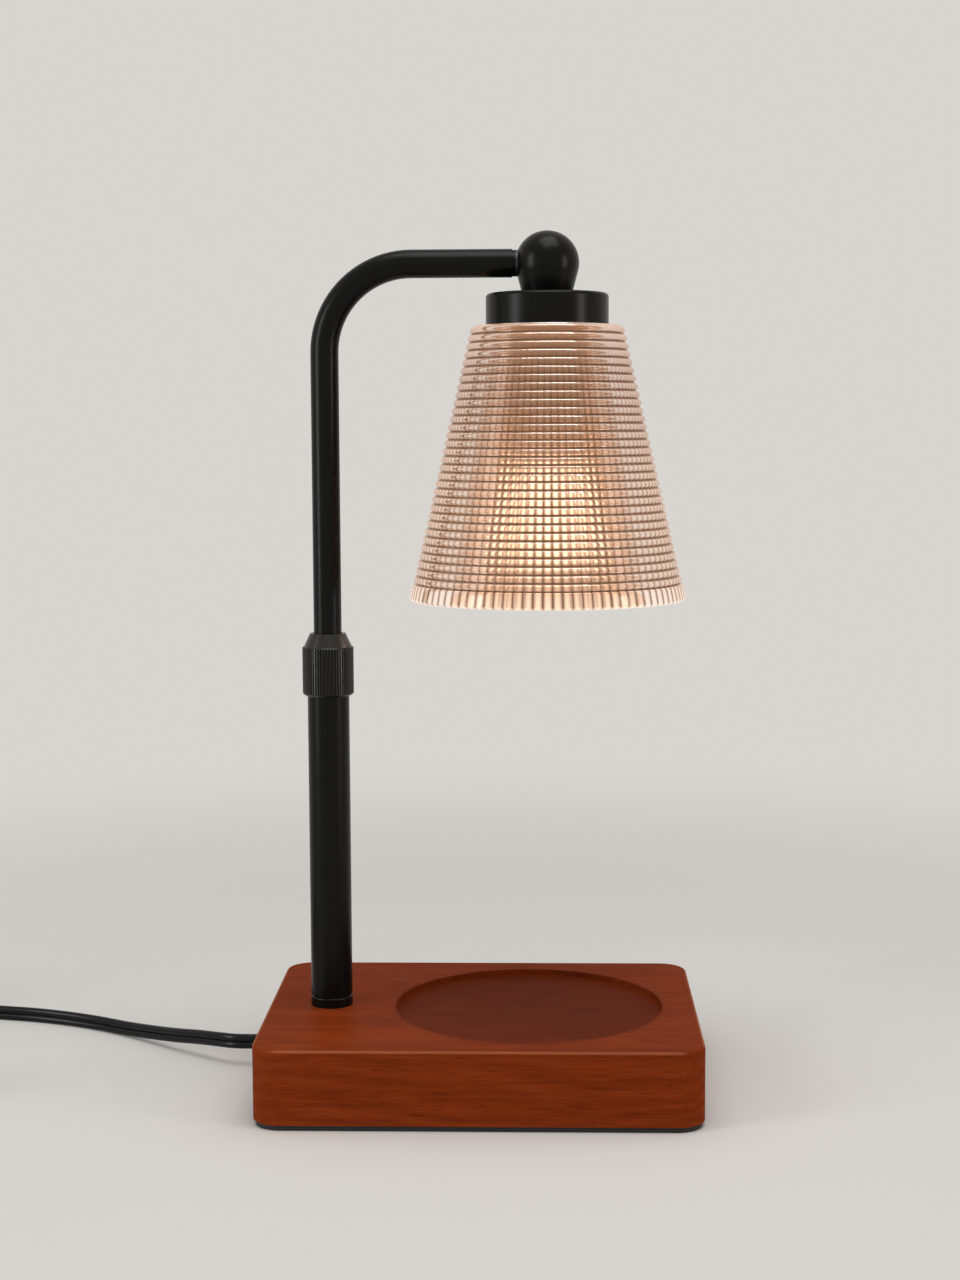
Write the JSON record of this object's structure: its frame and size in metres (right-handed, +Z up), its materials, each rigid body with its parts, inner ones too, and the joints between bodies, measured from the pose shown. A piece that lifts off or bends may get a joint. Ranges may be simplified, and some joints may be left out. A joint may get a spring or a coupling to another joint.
{
  "type": "candle warmer lamp",
  "caption": "Table lamp that melts a candle from above: wooden base with a recess for the jar, telescoping post, bent arm, tilting ribbed glass shade, corded dimmer.",
  "frame": {"origin": "centre of the base's underside, on the table", "axes": "+Z up along the post; +X from the post towards the shade; +Y to the back, away from the side that the picture shows"},
  "size_m": [0.412, 0.1485, 0.3063],
  "materials": {
    "wood": "satin varnish, straight grain from left to right",
    "black_metal": "satin black powder coat",
    "zinc_steel": "zinc plated",
    "holder_metal": "satin grey",
    "pad_rubber": "matt foam rubber",
    "clear_glass": "clear, pressed, with ribs outside",
    "lamp_glass": "clear",
    "mirror_glass": "aluminised glass",
    "ceramic": "glazed white ceramic",
    "white_nylon": "moulded",
    "black_plastic": "moulded, fine texture",
    "cord_pvc": "glossy black",
    "board_green": "circuit board",
    "contact_brass": "bare"
  },
  "bodies": {
    "base": {"wood_base": "wood", "base_pad": "pad_rubber", "bottom_plate": "zinc_steel", "plate_screws": "zinc_steel", "foot_ring": "black_metal", "lower_tube": "black_metal", "tube_plug": "zinc_steel", "post_stud": "zinc_steel", "post_washer": "zinc_steel", "post_nut": "zinc_steel", "tube_ferrule": "zinc_steel", "strain_relief": "cord_pvc", "cord_clamp": "black_plastic", "clamp_screw": "zinc_steel", "cord_in_base": "cord_pvc", "cord_in_post": "cord_pvc", "cord_lead": "cord_pvc", "dimmer_case_lower": "black_plastic", "dimmer_case_upper": "black_plastic", "dimmer_screws": "zinc_steel", "dimmer_board": "board_green", "dimmer_pot": "black_plastic", "cord_run": "cord_pvc", "cord_coil": "cord_pvc", "cord_tie": "pad_rubber", "cord_tail": "cord_pvc", "plug_body": "cord_pvc", "plug_blades": "contact_brass"},
    "collar": {"lock_collar": "black_metal"},
    "collet": {"clamp_sleeve": "white_nylon"},
    "arm": {"arm_tube": "black_metal", "guide_bush": "white_nylon", "pivot_neck": "black_metal", "neck_washer": "black_plastic", "pivot_clip": "zinc_steel", "cord_in_arm": "cord_pvc"},
    "head": {"ball_knuckle": "black_metal", "head_stud": "zinc_steel", "head_nut": "zinc_steel", "shade_cap": "black_metal", "glass_shade": "clear_glass", "shade_ring": "holder_metal", "shade_gasket": "white_nylon", "lamp_holder": "holder_metal", "socket_insert": "ceramic", "socket_contacts": "contact_brass", "insert_screws": "zinc_steel", "bulb_base": "ceramic", "bulb_reflector": "mirror_glass", "bulb_lens": "lamp_glass", "bulb_capsule": "lamp_glass", "bulb_pins": "zinc_steel", "cord_in_head": "cord_pvc"},
    "thumbwheel": {"dimmer_wheel": "black_plastic"}
  },
  "joints": [
    {"name": "collar_turn", "type": "hinge", "parent": "base", "child": "collar", "pos_m": [-0.055, 0, 0.152], "axis": [0, 0, 1], "range_deg": [0, 180]},
    {"name": "arm_swivel", "type": "hinge", "parent": "base", "child": "collet", "pos_m": [-0.055, 0, 0.152], "axis": [0, 0, 1], "range_deg": [-90, 90]},
    {"name": "arm_slide", "type": "slide", "parent": "collet", "child": "arm", "axis": [0, 0, 1], "range_m": [-0.04, 0.036], "deforming": ["cord_in_post"]},
    {"name": "head_tilt", "type": "hinge", "parent": "arm", "child": "head", "pos_m": [0.024, 0, 0.295], "axis": [1, 0, 0], "range_deg": [-45, 45]},
    {"name": "dimmer_turn", "type": "hinge", "parent": "base", "child": "thumbwheel", "pos_m": [-0.27, 0.076, 0.0124], "axis": [0, 1, 0], "range_deg": [0, 270]}
  ]
}
